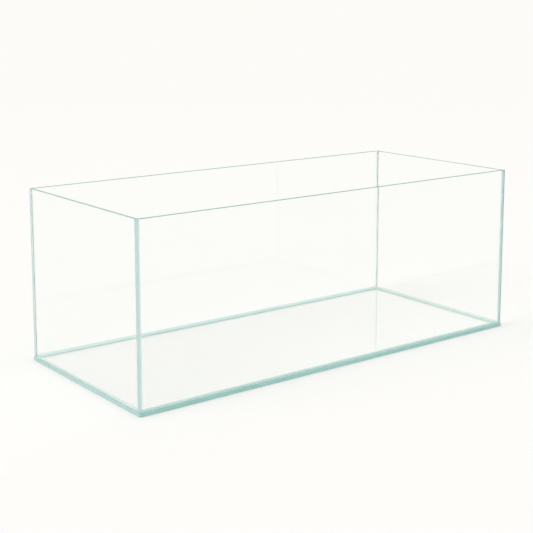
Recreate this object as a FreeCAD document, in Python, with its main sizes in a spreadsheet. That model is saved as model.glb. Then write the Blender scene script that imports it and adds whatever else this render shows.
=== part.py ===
"""Rimless glass aquarium tank: five panes of glass bonded with clear silicone.

Frame: +X along the tank's length, front at -Y, +Z up. The origin is the middle of the underside.
Millimetres throughout.
"""

import FreeCAD, Part
import math
import os

import Sketcher
from FreeCAD import Placement, Rotation, Vector

PARTS_FOLDER = "parts"
SHEET = "Sizes"

DRIVING_SIZES = [
    # alias, value, what it is
    ("tank_length", 800, "outside length of the base pane"),
    ("tank_depth", 350, "outside depth of the base pane, front to back"),
    ("tank_height", 300, "underside to rim"),
    ("base_glass", 6, "thickness of the base pane"),
    ("wall_glass", 5, "thickness of each wall pane"),
    ("overhang", 1, "how far the base pane stands out past the walls"),
    ("bond_film", 1, "thickness of the silicone between two panes"),
    ("arris", 0.5, "how far a sharp glass edge is ground back"),
    ("base_bead_leg", 4, "reach of the inside beads along the base pane"),
    ("corner_bead_leg", 1.5, "reach of the inside beads in the upright corners"),
    ("bead_hollow", 1.6, "radius of a bead's hollow face, in legs"),
    ("bead_stop", 2, "how far below the rim the corner beads stop"),
]
VALUE = {alias: value for alias, value, _ in DRIVING_SIZES}

# Distances from the middle of the tank, and heights, that several pieces share.
OUTER_X = "(tank_length / 2 - overhang)"
OUTER_Y = "(tank_depth / 2 - overhang)"
INNER_X = "(tank_length / 2 - overhang - wall_glass)"
INNER_Y = "(tank_depth / 2 - overhang - wall_glass)"
WALL_FOOT = "(base_glass + bond_film)"
WALL_RISE = "(tank_height - base_glass - bond_film)"
# A film stops short of the outer face by the arris and meets the bead at the inner face.
FILM_WIDTH = "(wall_glass - arris)"

START, END = 1, 2  # the two ends of a sketch line
SKETCH_ORIGIN = (-1, 1)
UPRIGHT_AXIS = -2  # a sketch's own vertical axis
THROUGH_ALL = 1  # a Pocket's type
ON_EDGE = 0.01  # mm, how near counts as lying on a plane

doc = FreeCAD.newDocument("aquarium_tank")
sheet = doc.addObject("Spreadsheet::Sheet", SHEET)
for row, (alias, value, meaning) in enumerate(DRIVING_SIZES, start=1):
    sheet.set("A%d" % row, str(value))
    sheet.setAlias("A%d" % row, alias)
    sheet.set("B%d" % row, meaning)
doc.recompute()

nodes = []  # the finished sub-parts, one solid each


def from_sheet(expression):
    """The expression with every driving size written as a cell of the sheet."""
    for alias in VALUE:
        expression = expression.replace(alias, SHEET + "." + alias)
    return expression


def bind(thing, path, expression):
    thing.setExpression(path, from_sheet(expression))


def put(thing, x, y, z, turn=Rotation()):
    """Turns a sub-part and ties where it stands to the sheet."""
    thing.Placement = Placement(Vector(0, 0, 0), turn)
    for axis, expression in zip("xyz", (x, y, z)):
        bind(thing, "Placement.Base." + axis, expression)


# ---- sketches and bodies


def new_body(label):
    body = doc.addObject("PartDesign::Body", label)
    body.Label = label
    return body


def new_sketch(body, name, plane_role):
    """A sketch on one of its own body's origin planes."""
    sketch = body.newObject("Sketcher::SketchObject", name)
    plane = [plane for plane in body.Origin.OriginFeatures if plane.Role == plane_role][0]
    sketch.AttachmentSupport = (plane, [""])
    sketch.MapMode = "FlatFace"
    return sketch


def constrain(sketch, kind, *where):
    return sketch.addConstraint(Sketcher.Constraint(kind, *where))


def dimension(sketch, name, expression, kind, *where):
    """A named dimension tied to the sheet."""
    number = constrain(sketch, kind, *where)
    sketch.renameConstraint(number, name)
    bind(sketch, "Constraints." + name, expression)


def straight_outline(sketch, corners):
    """A closed run of straight lines through the corners. Gives back the lines' numbers."""
    lines = []
    for here, there in zip(corners, corners[1:] + corners[:1]):
        lines.append(sketch.addGeometry(Part.LineSegment(Vector(*here, 0), Vector(*there, 0))))
    for line, following in zip(lines, lines[1:] + lines[:1]):
        constrain(sketch, "Coincident", line, END, following, START)
    return lines


def pad_up(body, sketch, height):
    pad = body.newObject("PartDesign::Pad", "Pad")
    pad.Profile = sketch
    bind(pad, "Length", height)
    return pad


# ---- glass


def centred_rectangle(body, across, along):
    sketch = new_sketch(body, "Outline", "XY_Plane")
    half_x, half_y = VALUE["tank_length"] / 2, VALUE["tank_depth"] / 2
    front, right, back, left = straight_outline(
        sketch, [(-half_x, -half_y), (half_x, -half_y), (half_x, half_y), (-half_x, half_y)]
    )
    for line in (front, back):
        constrain(sketch, "Horizontal", line)
    for line in (right, left):
        constrain(sketch, "Vertical", line)
    constrain(sketch, "Symmetric", front, START, back, START, *SKETCH_ORIGIN)
    dimension(sketch, "across", across, "DistanceX", front, START, front, END, 2 * half_x)
    dimension(sketch, "along", along, "DistanceY", right, START, right, END, 2 * half_y)
    return sketch


def pane(label, across, along, rise, where, inward=None):
    """A sheet of glass standing on its lower face, its edges ground back.

    where is the middle of its lower face, and inward points from a wall to the tank's inside. The
    edges of a wall's inner face are buried in silicone and left as cut, all but the one at the rim.
    """
    body = new_body(label)
    block = pad_up(body, centred_rectangle(body, across, along), rise)
    doc.recompute()
    ground = []
    for number, edge in enumerate(block.Shape.Edges, start=1):
        middle = edge.CenterOfMass
        at_rim = middle.z > block.Shape.BoundBox.ZMax - ON_EDGE
        on_inner_face = inward and middle.dot(inward) > VALUE["wall_glass"] / 2 - ON_EDGE
        if at_rim or not on_inner_face:
            ground.append("Edge%d" % number)
    edges = body.newObject("PartDesign::Chamfer", "Arris")
    edges.Base = (block, ground)
    bind(edges, "Size", "arris")
    put(body, *where)
    nodes.append(body)


def make_panes():
    pane("base_pane", "tank_length", "tank_depth", "base_glass", ("0", "0", "0"))

    # The front and back panes run the full length and cover the side panes' ends.
    for label, side in (("front_pane", -1), ("back_pane", 1)):
        middle = ("0", "%d * (%s - wall_glass / 2)" % (side, OUTER_Y), WALL_FOOT)
        pane(label, "2 * " + OUTER_X, "wall_glass", WALL_RISE, middle, inward=Vector(0, -side, 0))

    # The side panes stand between them, a film of silicone short of each.
    for label, side in (("left_pane", -1), ("right_pane", 1)):
        middle = ("%d * (%s - wall_glass / 2)" % (side, OUTER_X), "0", WALL_FOOT)
        run = "2 * (%s - bond_film)" % INNER_Y
        pane(label, "wall_glass", run, WALL_RISE, middle, inward=Vector(-side, 0, 0))


# ---- silicone between the panes


def film(label, length, width, height, where):
    """A flat film of silicone. where is its corner nearest to -X, -Y and the floor."""
    block = doc.addObject("Part::Box", label)
    block.Label = label
    bind(block, "Length", length)
    bind(block, "Width", width)
    bind(block, "Height", height)
    put(block, *where)
    nodes.append(block)


def make_films():
    # Under the walls.
    long_run, short_run = "2 * (%s - arris)" % OUTER_X, "2 * " + INNER_Y
    for label, y in (("front_base_bond", "arris - " + OUTER_Y), ("back_base_bond", INNER_Y)):
        film(label, long_run, FILM_WIDTH, "bond_film", ("arris - " + OUTER_X, y, "base_glass"))
    for label, x in (("left_base_bond", "arris - " + OUTER_X), ("right_base_bond", INNER_X)):
        film(label, FILM_WIDTH, short_run, "bond_film", (x, "-" + INNER_Y, "base_glass"))

    # Between each side pane's end and the pane that covers it.
    for side, x in (("left", "arris - " + OUTER_X), ("right", INNER_X)):
        for end, y in (("front", "-" + INNER_Y), ("back", INNER_Y + " - bond_film")):
            label = "%s_%s_corner_bond" % (end, side)
            film(label, FILM_WIDTH, "bond_film", WALL_RISE + " - arris", (x, y, WALL_FOOT))


# ---- silicone beads in the inside corners


def bead_section(body, leg):
    """The bead's cross-section: two legs along the glass from the corner, and a hollow face."""
    sketch = new_sketch(body, "Section", "XY_Plane")
    reach = VALUE[leg]
    radius = reach * VALUE["bead_hollow"]
    off_diagonal = math.sqrt(radius**2 - reach**2 / 2)
    middle = reach / 2 + off_diagonal / math.sqrt(2)
    centre = Vector(middle, middle, 0)
    first = math.atan2(reach - middle, -middle) % (2 * math.pi)
    last = math.atan2(-middle, reach - middle) % (2 * math.pi)
    hollow = sketch.addGeometry(
        Part.ArcOfCircle(Part.Circle(centre, Vector(0, 0, 1), radius), first, last)
    )
    foot = sketch.addGeometry(Part.LineSegment(Vector(0, 0, 0), Vector(reach, 0, 0)))
    wall = sketch.addGeometry(Part.LineSegment(Vector(0, reach, 0), Vector(0, 0, 0)))
    constrain(sketch, "Coincident", foot, START, *SKETCH_ORIGIN)
    constrain(sketch, "Coincident", wall, END, *SKETCH_ORIGIN)
    constrain(sketch, "Coincident", foot, END, hollow, END)
    constrain(sketch, "Coincident", wall, START, hollow, START)
    constrain(sketch, "Horizontal", foot)
    constrain(sketch, "Vertical", wall)
    dimension(sketch, "foot_leg", leg, "Distance", foot, reach)
    dimension(sketch, "wall_leg", leg, "Distance", wall, reach)
    dimension(sketch, "hollow_radius", leg + " * bead_hollow", "Radius", hollow, radius)
    return sketch


def mitre(body, run):
    """Cuts both ends of a bead at 45 degrees, so that it meets its neighbours round the base."""
    sketch = new_sketch(body, "Mitres", "XZ_Plane")
    reach = 2 * VALUE["base_bead_leg"]
    far_height = VALUE["tank_depth"]
    for name, height, inward in (("near", 0, 1), ("far", far_height, -1)):
        slope, side, across = straight_outline(
            sketch, [(0, height), (reach, height + inward * reach), (reach, height)]
        )
        lower, upper = (END, START) if inward > 0 else (START, END)
        constrain(sketch, "Vertical", side)
        constrain(sketch, "Horizontal", across)
        leg = "2 * base_bead_leg"
        dimension(sketch, name + "_width", leg, "DistanceX", across, END, across, START, reach)
        dimension(sketch, name + "_rise", leg, "DistanceY", side, lower, side, upper, reach)
        if inward > 0:
            constrain(sketch, "Coincident", slope, START, *SKETCH_ORIGIN)
        else:
            constrain(sketch, "PointOnObject", slope, START, UPRIGHT_AXIS)
            dimension(sketch, "run", run, "DistanceY", *SKETCH_ORIGIN, slope, START, far_height)
    cut = body.newObject("PartDesign::Pocket", "MitreCut")
    cut.Profile = sketch
    cut.Type = THROUGH_ALL
    cut.Midplane = True


def make_base_beads():
    """Four beads round the foot of the walls. Each runs along its own +Z, its wall leg pointing up."""
    lying = Rotation(Vector(0, 1, 0), Vector(0, 0, 1), Vector(1, 0, 0), "XYZ")
    beads = []
    for number, (side, x, y, run) in enumerate([
        ("front", "-" + INNER_X, "-" + INNER_Y, "2 * " + INNER_X),
        ("right", INNER_X, "-" + INNER_Y, "2 * " + INNER_Y),
        ("back", INNER_X, INNER_Y, "2 * " + INNER_X),
        ("left", "-" + INNER_X, INNER_Y, "2 * " + INNER_Y),
    ]):
        body = new_body(side + "_base_bead")
        pad_up(body, bead_section(body, "base_bead_leg"), run)
        doc.recompute()
        mitre(body, run)
        put(body, x, y, "base_glass", Rotation(Vector(0, 0, 1), 90 * number).multiply(lying))
        nodes.append(body)
        beads.append(body)
    return beads


def make_corner_beads(base_beads):
    """Four upright beads. Each is scooped out at its foot where it stands on the base beads."""
    ring = doc.addObject("Part::MultiFuse", "BaseBeadRing")
    ring.Shapes = base_beads
    for number, (corner, x, y) in enumerate([
        ("front_left", "-" + INNER_X, "-" + INNER_Y),
        ("front_right", INNER_X, "-" + INNER_Y),
        ("back_right", INNER_X, INNER_Y),
        ("back_left", "-" + INNER_X, INNER_Y),
    ]):
        length = new_body(corner + "_bead_length")
        pad_up(length, bead_section(length, "corner_bead_leg"), WALL_RISE + " - bead_stop")
        put(length, x, y, WALL_FOOT, Rotation(Vector(0, 0, 1), 90 * number))
        bead = doc.addObject("Part::Cut", corner + "_corner_bead")
        bead.Label = corner + "_corner_bead"
        bead.Base = length
        bead.Tool = ring
        nodes.append(bead)


# ---- the whole tank


def check_document():
    """Stops if any object failed to build, or a sub-part isn't one sound solid."""
    for thing in doc.Objects:
        if "Invalid" in thing.State or "Error" in thing.State:
            raise RuntimeError("%s is in state %s" % (thing.Label, thing.State))
    for node in nodes:
        shape = node.Shape
        if shape.isNull() or not shape.isValid() or len(shape.Solids) != 1:
            raise RuntimeError("%s isn't one sound solid" % node.Label)


make_panes()
make_films()
make_corner_beads(make_base_beads())
doc.recompute()
check_document()

os.makedirs(PARTS_FOLDER, exist_ok=True)
for node in nodes:
    node.Shape.exportStep("%s/%s.step" % (PARTS_FOLDER, node.Label))
    box = node.Shape.BoundBox
    print(
        "%-26s %10.1f mm3  x %.1f..%.1f  y %.1f..%.1f  z %.1f..%.1f"
        % (node.Label, node.Shape.Volume, box.XMin, box.XMax, box.YMin, box.YMax, box.ZMin, box.ZMax)
    )
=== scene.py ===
"""The looks of a rimless glass aquarium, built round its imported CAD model. Metres throughout."""

import math

import bmesh
import bpy
from mathutils import Matrix, Vector, noise


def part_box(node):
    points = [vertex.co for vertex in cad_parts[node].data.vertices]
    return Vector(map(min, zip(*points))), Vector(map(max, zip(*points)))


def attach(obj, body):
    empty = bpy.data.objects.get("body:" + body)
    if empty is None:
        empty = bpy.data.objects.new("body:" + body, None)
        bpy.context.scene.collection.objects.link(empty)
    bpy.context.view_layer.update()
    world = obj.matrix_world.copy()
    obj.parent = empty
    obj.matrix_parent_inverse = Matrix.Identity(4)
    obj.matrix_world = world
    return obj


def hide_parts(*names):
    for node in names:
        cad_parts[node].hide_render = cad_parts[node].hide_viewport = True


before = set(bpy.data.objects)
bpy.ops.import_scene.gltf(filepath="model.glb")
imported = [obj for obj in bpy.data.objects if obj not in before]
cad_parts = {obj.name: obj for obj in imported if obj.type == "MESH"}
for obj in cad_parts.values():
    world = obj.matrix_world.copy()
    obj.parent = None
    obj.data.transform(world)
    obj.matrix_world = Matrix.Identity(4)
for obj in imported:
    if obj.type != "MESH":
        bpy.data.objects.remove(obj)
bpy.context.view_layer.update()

MM = 0.001

SIDES = ("front", "right", "back", "left")
CORNERS = ("front_left", "front_right", "back_right", "back_left")
LONG_SIDES = ("front", "back")
DOWN, FORWARD, BACKWARD = (0, 0, -1), (0, -1, 0), (0, 1, 0)
Z = 2  # the place of the height in a point or a size

# ---- sizes

ARRIS = 0.5 * MM  # a pane's ground-back edge
ARRIS_STEPS = 3
ON_PLANE = 0.01 * MM  # how near counts as lying on a plane
SQUARE_ON = 0.999  # a face is square to an axis if its normal has more than this along it
LEANING = 0.2  # a face whose normal has more than this towards a buried side takes its material

SKIN_GAP = 0.04 * MM  # air between silicone and whatever it meets, so that no two faces coincide
SHARP_CORNER = math.radians(35)  # silicone is shaded as sharp where it turns by more than this
FEWEST_STATIONS = 4  # the fewest steps along a base bead or a film

BEAD_HOLLOW = 1.6  # radius of a bead's hollow face, in legs
BEAD_STEPS = 7  # facets across the hollow face
BEAD_STATION = 4 * MM  # spacing of the sections along a bead
BEAD_WAVER = 0.03  # how much a bead's legs vary, as a share
BEAD_NOISE = (40, 7.3, 0.5)  # how fast the noise varies, its step from seed to seed, and its level
CORNER_BEAD_SEED = 9  # the seed of the first corner bead

FILM_STATION = 6 * MM  # spacing of the sections along a film
FILM_WAVER = 0.08 * MM  # how far a film's outer edge wanders
FILM_DIP = 0.2 * MM  # how far the middle of that edge is drawn in
FILM_NOISE = (60, 3.7, 0.2)  # as for the beads
CORNER_FILM_SEED = 5  # the seed of the first corner film

# ---- numbers for the materials

GLASS_IOR = 1.52
SILICONE_IOR = 1.41
TINT_SPREAD = (0.3, 0.7)  # the noise values at which a material has its darker and lighter tone
RELIEF_STRENGTH = 0.35
RELIEF_DETAIL = 3.0

# cloud is the scale and detail of the tint's noise. grain is the scale and depth of the relief.
GLASS_CLOUD = (2.3, 2.0)
GROUND = {"cloud": (60.0, 4.0), "roughness": 0.35, "ior": GLASS_IOR, "grain": (2400.0, 0.05 * MM)}
RUBBER = {"cloud": (90.0, 4.0), "roughness": 0.3, "ior": SILICONE_IOR, "grain": (500.0, 0.1 * MM)}

# ---- numbers for the studio

SURROUND = (0.977, 0.964, 0.928)
KEY_SHARE = 0.14  # the key's light on the floor, against the surround's
KEY_COLOUR = (1.0, 0.99, 0.97)
KEY_WIDTH = math.radians(35)  # how wide the key looks from the tank
KEY_TILT = math.radians(50)  # the key's angle from overhead
KEY_FROM = math.radians(-100)  # the key's turn about the upright axis

FLOOR_RADIUS = 60
FLOOR_SIDES = 128
FLOOR_DROP = 0.4 * MM  # the floor lies this far under the base pane
FLOOR_ROUGHNESS = 0.9
FLOOR_PAINTED_LIGHT = (1.012, 1.016, 1.028)  # painted light: how much lighter the floor near the tank is painted than the floor far off, a painted pool of light
PAINTED_LIGHT_FADES = (0.6, 5.0)  # the distances from the tank's middle between which the painted light fades

SENSOR = 36.0  # in millimetres, like the lens
LENS = 77.9
LENS_SHIFT = -0.169
EYE = (-1.249, -1.592, 0.618)
EYE_DOWN = 8.82  # in degrees, like the next
EYE_HEADING = -37.48
SEES_TO = 200  # past the edge of the floor

# Light caught in a sheet of glass crosses it hundreds of times. With fewer bounces, seams go teal.
GLASS_BOUNCES = 400
ALL_BOUNCES = 800
DIFFUSE_BOUNCES = 12


# ---- materials


def shader_of(material):
    return next(node for node in material.node_tree.nodes if node.type == "BSDF_PRINCIPLED")


def new_material(name):
    """A material with one Principled shader. Gives back the material, its tree and the shader."""
    material = bpy.data.materials.new(name)
    material.use_nodes = True
    return material, material.node_tree, shader_of(material)


def add_node(tree, kind, **settings):
    """A node with its settings. A name that is an input's goes to that socket."""
    node = tree.nodes.new(kind)
    for key, value in settings.items():
        if key in node.inputs:
            node.inputs[key].default_value = value
        else:
            setattr(node, key, value)
    return node


def ramp(tree, source, stops):
    """Colours along a 0 to 1 value. Each stop is a place and a colour."""
    node = tree.nodes.new("ShaderNodeValToRGB")
    elements = node.color_ramp.elements
    while len(elements) < len(stops):
        elements.new(0.5)
    for element, (place, colour) in zip(elements, stops):
        element.position = place
        element.color = (*colour, 1)
    tree.links.new(source, node.inputs["Fac"])
    return node.outputs["Color"]


def cloudy_tint(tree, shader, cloud, darker, lighter):
    """A base colour that drifts between two tones. Gives back the coordinates it drifts over."""
    scale, detail = cloud
    place = add_node(tree, "ShaderNodeTexCoord").outputs["Object"]
    drift = add_node(tree, "ShaderNodeTexNoise", Scale=scale, Detail=detail)
    tree.links.new(place, drift.inputs["Vector"])
    tint = ramp(tree, drift.outputs["Fac"], list(zip(TINT_SPREAD, (darker, lighter))))
    tree.links.new(tint, shader.inputs["Base Color"])
    return place


def set_body(shader, transmission, roughness, ior):
    shader.inputs["Transmission Weight"].default_value = transmission
    shader.inputs["Roughness"].default_value = roughness
    shader.inputs["IOR"].default_value = ior


def float_glass(name, darker, lighter):
    """The clear faces of a pane."""
    material, tree, shader = new_material(name)
    cloudy_tint(tree, shader, GLASS_CLOUD, darker, lighter)
    set_body(shader, 1.0, 0.0, GLASS_IOR)
    return material


def tinted(name, darker, lighter, transmission, cloud, roughness, ior, grain):
    """A cloudy, part-clear material with a fine relief: ground glass or silicone."""
    material, tree, shader = new_material(name)
    place = cloudy_tint(tree, shader, cloud, darker, lighter)
    scale, depth = grain
    relief = add_node(tree, "ShaderNodeTexNoise", Scale=scale, Detail=RELIEF_DETAIL)
    tree.links.new(place, relief.inputs["Vector"])
    bump = add_node(tree, "ShaderNodeBump", Strength=RELIEF_STRENGTH, Distance=depth)
    tree.links.new(relief.outputs["Fac"], bump.inputs["Height"])
    tree.links.new(bump.outputs["Normal"], shader.inputs["Normal"])
    set_body(shader, transmission, roughness, ior)
    return material


def ground_edge(name, darker, lighter, transmission=0.2):
    """The narrow faces of a pane and its arrises, ground and half polished."""
    return tinted(name, darker, lighter, transmission, **GROUND)


def silicone(name, darker, lighter, transmission):
    return tinted(name, darker, lighter, transmission, **RUBBER)


def matt(material):
    """Takes the shine off a surface."""
    shader_of(material).inputs["Specular IOR Level"].default_value = 0.0
    return material


# ---- meshes


def new_piece(name, mesh, node, materials):
    """Puts a finished mesh in the scene in place of its CAD node."""
    piece = bpy.data.objects.new(name, mesh)
    bpy.context.scene.collection.objects.link(piece)
    for material in materials:
        mesh.materials.append(material)
    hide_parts(node)
    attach(piece, "root")


def mesh_from(work, name):
    mesh = bpy.data.meshes.new(name)
    work.to_mesh(mesh)
    work.free()
    return mesh


def left_as_cut(edge, thin, low, high):
    """Whether an edge is on a wall's inner face, where silicone covers it, and not at the rim."""
    if thin == Z:
        return False
    inner = low[thin] if low[thin] > 0 else high[thin]
    on_inner_face = all(abs(vert.co[thin] - inner) < ON_PLANE for vert in edge.verts)
    at_rim = all(abs(vert.co[Z] - high[Z]) < ON_PLANE for vert in edge.verts)
    return on_inner_face and not at_rim


def pane(node, materials, buried):
    """A sheet of glass with rounded arrises, ground on all but its two broad faces.

    materials is for the broad faces, then the edges that face along X, Y and Z.
    buried gives the material of each side that is set in silicone, by the way that it faces.
    """
    low, high = (Vector(corner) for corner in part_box(node))
    size = high - low
    work = bmesh.new()
    bmesh.ops.create_cube(work, size=1.0)
    bmesh.ops.scale(work, vec=size, verts=work.verts)
    bmesh.ops.translate(work, vec=(low + high) / 2, verts=work.verts)
    thin = min(range(3), key=lambda axis: size[axis])
    ground = [edge for edge in work.edges if not left_as_cut(edge, thin, low, high)]
    bmesh.ops.bevel(
        work, geom=ground, offset=ARRIS, segments=ARRIS_STEPS, profile=0.5, affect="EDGES"
    )
    for face in work.faces:
        broad = abs(face.normal[thin]) > SQUARE_ON
        direction = max(range(3), key=lambda axis: abs(face.normal[axis]))
        face.material_index = 0 if broad else 1 + direction
        for i, way in enumerate(buried):
            if face.normal.dot(Vector(way)) > LEANING:
                face.material_index = len(materials) + i
        face.smooth = max(abs(part) for part in face.normal) < SQUARE_ON
    mesh = mesh_from(work, node + "_glass")
    new_piece(node + "_glass", mesh, node, materials + list(buried.values()))


def silicone_piece(node, sections, materials):
    """A closed skin through a row of sections, each a ring of the same number of points."""
    work = bmesh.new()
    rings = [[work.verts.new(point) for point in section] for section in sections]
    count = len(rings[0])
    for here, there in zip(rings, rings[1:]):
        for i in range(count):
            k = (i + 1) % count
            work.faces.new((here[i], here[k], there[k], there[i]))
    work.faces.new(list(reversed(rings[0])))
    work.faces.new(rings[-1])
    bmesh.ops.recalc_face_normals(work, faces=work.faces[:])
    for face in work.faces:
        face.smooth = True
    mesh = mesh_from(work, node + "_silicone")
    mesh.set_sharp_from_angle(angle=SHARP_CORNER)
    new_piece(node + "_silicone", mesh, node, materials)


def wander(place, seed, pattern):
    """Smooth noise from -1 to 1, at a place along the piece that has this seed."""
    rate, seed_step, level = pattern
    return noise.noise(Vector((place * rate, seed * seed_step, level)))


def varied_leg(leg, place, seed):
    """A bead's leg at a place along it, which is never more than the leg given."""
    return leg * (1 + BEAD_WAVER * wander(place, seed, BEAD_NOISE)) * (1 - BEAD_WAVER)


def hollow_circle(leg):
    """The circle of a bead's hollow face: its radius, and how far its middle is from each wall."""
    radius = BEAD_HOLLOW * leg
    return radius, leg / 2 + math.sqrt(radius**2 - leg**2 / 2) / math.sqrt(2)


def hollow(leg, distance):
    """How far a bead reaches along one wall, at a distance from the corner along the other."""
    radius, middle = hollow_circle(leg)
    return middle - math.sqrt(radius**2 - (middle - min(distance, leg)) ** 2)


def bead_ring(leg):
    """A bead's section: the corner, then points evenly round the hollow face, foot to wall."""
    radius, middle = hollow_circle(leg)
    start = math.atan2(-middle, leg - middle)
    stop = math.atan2(leg - middle, -middle)
    ring = [(SKIN_GAP, SKIN_GAP)]
    for i in range(BEAD_STEPS + 1):
        angle = start + (stop - start) * (i / BEAD_STEPS)
        x, y = middle + radius * math.cos(angle), middle + radius * math.sin(angle)
        ring.append((max(x, SKIN_GAP), max(y, SKIN_GAP)))
    return ring


def quarter_turns(number):
    return Matrix.Rotation(number * math.pi / 2, 3, "Z")


def base_bead(number, side, materials):
    """A bead along the foot of one wall, mitred to its neighbours."""
    node = side + "_base_bead"
    low, high = (Vector(corner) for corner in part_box(node))
    leg = high.z - low.z
    middle = (low + high) / 2
    turn = quarter_turns(number)
    run = max(high.x - low.x, high.y - low.y)
    wall = turn @ Vector((0, -1, 0))  # the wall is this way from the bead
    start = middle + wall * leg / 2 - turn @ Vector((run / 2, 0, 0))
    start.z = low.z
    along, inward = turn @ Vector((1, 0, 0)), -wall
    count = max(FEWEST_STATIONS, round(run / BEAD_STATION))
    sections = []
    for i in range(count + 1):
        t = i / count
        section = []
        for across, up in bead_ring(varied_leg(leg, t * run, number)):
            mitre = across + SKIN_GAP
            place = mitre + t * (run - 2 * mitre)
            section.append(start + along * place + inward * across + Vector((0, 0, up)))
        sections.append(section)
    silicone_piece(node, sections, materials)


def corner_bead(number, corner, base_leg, base_top, materials):
    """A bead up one corner. Its foot follows the top of the two base beads that it stands on."""
    node = corner + "_corner_bead"
    low, high = (Vector(end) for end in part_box(node))
    leg = high.x - low.x
    turn = quarter_turns(number)
    away = turn @ Vector((1, 1, 0))  # the bead is this way from the corner
    start = Vector((low.x if away.x > 0 else high.x, low.y if away.y > 0 else high.y, 0))
    count = round((high.z - low.z) / BEAD_STATION)
    sections = []
    for i in range(count + 1):
        t = i / count
        section = []
        for across, along in bead_ring(varied_leg(leg, t, number + CORNER_BEAD_SEED)):
            foot = base_top + hollow(base_leg, min(across, along)) + 2 * SKIN_GAP
            height = foot + t * (high.z - foot)
            section.append(start + turn @ Vector((across, along, 0)) + Vector((0, 0, height)))
        sections.append(section)
    silicone_piece(node, sections, materials)


def film(node, seed, materials):
    """The silicone between two panes, its outer edge a little uneven."""
    low, high = (Vector(corner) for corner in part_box(node))
    size = high - low
    thin, wide, long = sorted(range(3), key=lambda axis: size[axis])
    middle = (low + high) / 2
    outward = 1 if middle[wide] > 0 else -1
    half = size[thin] / 2 - SKIN_GAP
    inner = -size[wide] / 2 + SKIN_GAP
    count = max(FEWEST_STATIONS, round(size[long] / FILM_STATION))
    sections = []
    for i in range(count + 1):
        place = low[long] + SKIN_GAP + (i / count) * (size[long] - 2 * SKIN_GAP)
        outer = size[wide] / 2 - FILM_WAVER * (0.5 + 0.5 * wander(place, seed, FILM_NOISE))
        profile = [
            (inner, -half),
            (outer, -half),
            (outer - FILM_DIP, 0.0),
            (outer, half),
            (inner, half),
        ]
        section = []
        for across, through in profile:
            point = Vector((0, 0, 0))
            point[long] = place
            point[wide] = middle[wide] + outward * across
            point[thin] = middle[thin] + through
            section.append(point)
        sections.append(section)
    silicone_piece(node, sections, materials)


# ---- the studio


def surround():
    """An even, slightly warm white all round."""
    world = bpy.data.worlds.new("studio")
    world.use_nodes = True
    background = next(node for node in world.node_tree.nodes if node.type == "BACKGROUND")
    background.inputs["Color"].default_value = (*SURROUND, 1)
    bpy.context.scene.world = world


def key_light():
    """One broad light, which gives the tank its faint shadow."""
    light = bpy.data.lights.new("key", "SUN")
    light.angle = KEY_WIDTH
    light.color = KEY_COLOUR
    light.energy = math.pi * KEY_SHARE / math.cos(KEY_TILT)
    key = bpy.data.objects.new("key", light)
    turn, tilt = Matrix.Rotation(KEY_FROM, 3, "Z"), Matrix.Rotation(KEY_TILT, 3, "X")
    key.rotation_euler = (turn @ tilt).to_euler()
    bpy.context.scene.collection.objects.link(key)


def floor_paint():
    """White, with a painted pool of light: a little lighter near the tank."""
    material, tree, shader = new_material("pale_floor")
    albedo = 1 / (1 + KEY_SHARE)
    far = (albedo, albedo, albedo)
    # near carries the painted pool of light round the tank
    near = tuple(albedo * lift for lift in FLOOR_PAINTED_LIGHT)
    place = add_node(tree, "ShaderNodeTexCoord")
    spread = add_node(tree, "ShaderNodeVectorMath", operation="LENGTH")
    tree.links.new(place.outputs["Object"], spread.inputs[0])
    share = add_node(tree, "ShaderNodeMapRange")
    for end, distance in zip(("From Min", "From Max"), PAINTED_LIGHT_FADES):
        share.inputs[end].default_value = distance
    tree.links.new(spread.outputs["Value"], share.inputs["Value"])
    tone = ramp(tree, share.outputs["Result"], [(0.0, near), (1.0, far)])
    tree.links.new(tone, shader.inputs["Base Color"])
    shader.inputs["Roughness"].default_value = FLOOR_ROUGHNESS
    return matt(material)


def floor():
    work = bmesh.new()
    bmesh.ops.create_circle(work, cap_ends=True, segments=FLOOR_SIDES, radius=FLOOR_RADIUS)
    bmesh.ops.translate(work, vec=(0, 0, -FLOOR_DROP), verts=work.verts)
    mesh = mesh_from(work, "floor")
    mesh.materials.append(floor_paint())
    ground = bpy.data.objects.new("floor", mesh)
    bpy.context.scene.collection.objects.link(ground)


def camera():
    lens = bpy.data.cameras.new("camera")
    lens.lens = LENS
    lens.sensor_width = SENSOR
    lens.shift_y = LENS_SHIFT
    lens.clip_end = SEES_TO
    eye = bpy.data.objects.new("camera", lens)
    eye.location = EYE
    eye.rotation_euler = (math.radians(90 - EYE_DOWN), 0, math.radians(EYE_HEADING))
    bpy.context.scene.collection.objects.link(eye)
    bpy.context.scene.camera = eye


def look():
    scene = bpy.context.scene
    scene.view_settings.view_transform = "Standard"
    scene.cycles.blur_glossy = 0.0
    scene.cycles.max_bounces = ALL_BOUNCES
    scene.cycles.transmission_bounces = GLASS_BOUNCES
    scene.cycles.glossy_bounces = GLASS_BOUNCES
    scene.cycles.diffuse_bounces = DIFFUSE_BOUNCES


# ---- the tank

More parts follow.
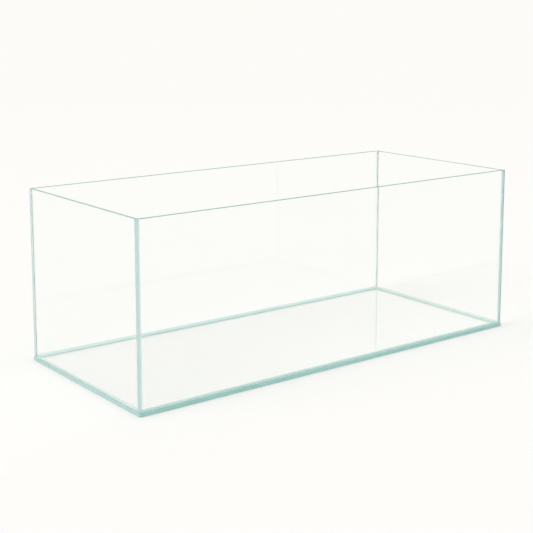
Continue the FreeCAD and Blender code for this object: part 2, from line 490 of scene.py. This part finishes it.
# Each has a darker and a lighter tone. A last number is the share of light that it lets through.
wall_glass = float_glass("wall_glass", (0.988, 0.994, 0.990), (0.994, 0.998, 0.995))
base_glass = float_glass("base_glass", (0.976, 0.986, 0.980), (0.984, 0.992, 0.986))
rim_edge = ground_edge("rim_edge", (0.20, 0.41, 0.37), (0.28, 0.48, 0.44))
long_rim_edge = matt(ground_edge("long_rim_edge", (0.13, 0.35, 0.32), (0.20, 0.42, 0.38)))
wall_edge = ground_edge("wall_edge", (0.53, 0.70, 0.71), (0.61, 0.77, 0.78), 0.3)
# Base edges: end_edge faces left, right, up and down; shaded_deep_edge faces front and back and is
# painted darker, painted shade away from the key on the left, on top of the glass's own teal.
end_edge = ground_edge("end_edge", (0.47, 0.67, 0.66), (0.55, 0.74, 0.73))
shaded_deep_edge = ground_edge("shaded_deep_edge", (0.35, 0.65, 0.62), (0.42, 0.71, 0.68))
side_silicone = silicone("side_silicone", (0.62, 0.79, 0.76), (0.70, 0.85, 0.82), 0.2)
long_silicone = silicone("long_silicone", (0.63, 0.86, 0.83), (0.71, 0.92, 0.89), 0.15)
# Paler than the beads: partly because a thin film of silicone is paler, partly painted light
# against the shade in the groove where the films sit.
bond_silicone = silicone("bond_silicone", (0.74, 0.96, 0.94), (0.82, 0.99, 0.98), 0.15)
# The bonded ends of the side panes. It stands for the silicone that wets them, and is painted
# paler too: painted light where the air gap by the silicone leaves these faces in shade.
wetted_end_painted_light = matt(ground_edge("wetted_end_painted_light", (0.81, 0.95, 0.93), (0.89, 0.98, 0.97), 0.5))
corner_film = silicone("corner_film", (0.62, 0.82, 0.82), (0.70, 0.89, 0.89), 0.08)
bead_silicone = silicone("bead_silicone", (0.82, 0.93, 0.92), (0.90, 0.98, 0.97), 0.65)

pane("base_pane", [base_glass, end_edge, shaded_deep_edge, end_edge], {})
for name in ("front_pane", "back_pane"):
    pane(name, [wall_glass, wall_edge, wall_edge, long_rim_edge], {DOWN: wall_glass})
for name in ("left_pane", "right_pane"):
    ends = {DOWN: wall_glass, FORWARD: wetted_end_painted_light, BACKWARD: wetted_end_painted_light}
    pane(name, [wall_glass, wall_edge, wall_edge, rim_edge], ends)

base_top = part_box("base_pane")[1][Z]
bead_low, bead_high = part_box("front_base_bead")
base_leg = bead_high[Z] - bead_low[Z]
for number, side in enumerate(SIDES):
    base_bead(number, side, [long_silicone if side in LONG_SIDES else side_silicone])
    film(side + "_base_bond", number, [bond_silicone])
for number, corner in enumerate(CORNERS):
    corner_bead(number, corner, base_leg, base_top, [bead_silicone])
    film(corner + "_corner_bond", number + CORNER_FILM_SEED, [corner_film])

surround()
key_light()
floor()
camera()
look()
